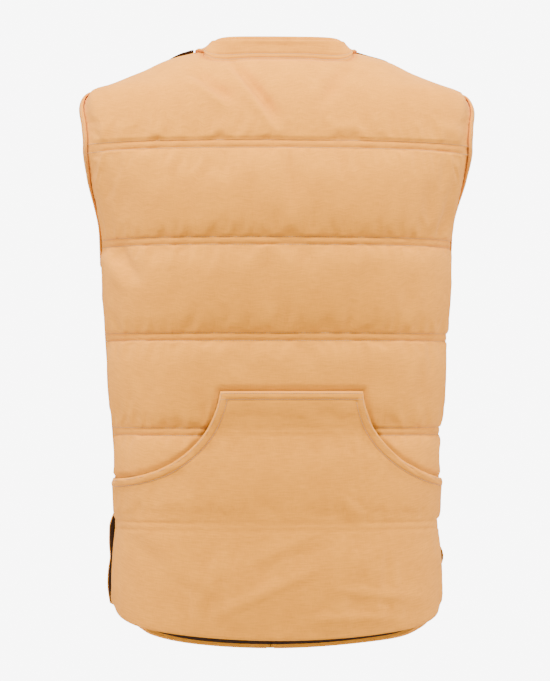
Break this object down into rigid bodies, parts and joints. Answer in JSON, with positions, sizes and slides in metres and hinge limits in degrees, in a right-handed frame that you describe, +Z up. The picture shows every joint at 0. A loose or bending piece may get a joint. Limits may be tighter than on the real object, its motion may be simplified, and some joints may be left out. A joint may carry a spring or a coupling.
{
  "type": "quilted work vest",
  "caption": "Quilted duck-canvas work vest shaped as worn, with a low stand collar, bound armholes, side vents and a wide flat back pocket with curved side mouths.",
  "frame": {"origin": "midway between the two neck points of the shoulder seams, where the vest sits on the shoulders", "axes": "+X to the wearer's right, +Y forward out of the zipped front, +Z up"},
  "size_m": [0.4466, 0.2673, 0.7034],
  "materials": {
    "duck_canvas": "matt plain weave",
    "lining_cloth": "matt close weave",
    "patch_cloth": "matt napped",
    "zip": "satin"
  },
  "bodies": {
    "root": {"back_panel": "duck_canvas", "front_panel_left": "duck_canvas", "front_panel_right": "duck_canvas", "back_lining": "lining_cloth", "front_lining_left": "lining_cloth", "front_lining_right": "lining_cloth", "hem_facing_back": "duck_canvas", "hem_facing_front_left": "duck_canvas", "hem_facing_front_right": "duck_canvas", "collar": "duck_canvas", "collar_facing": "duck_canvas", "armhole_binding_left": "duck_canvas", "armhole_binding_right": "duck_canvas", "back_pocket": "duck_canvas", "shoulder_patch_left": "patch_cloth", "shoulder_patch_right": "patch_cloth", "vent_facing_left": "lining_cloth", "vent_facing_right": "lining_cloth", "front_zip": "zip"}
  },
  "joints": []
}
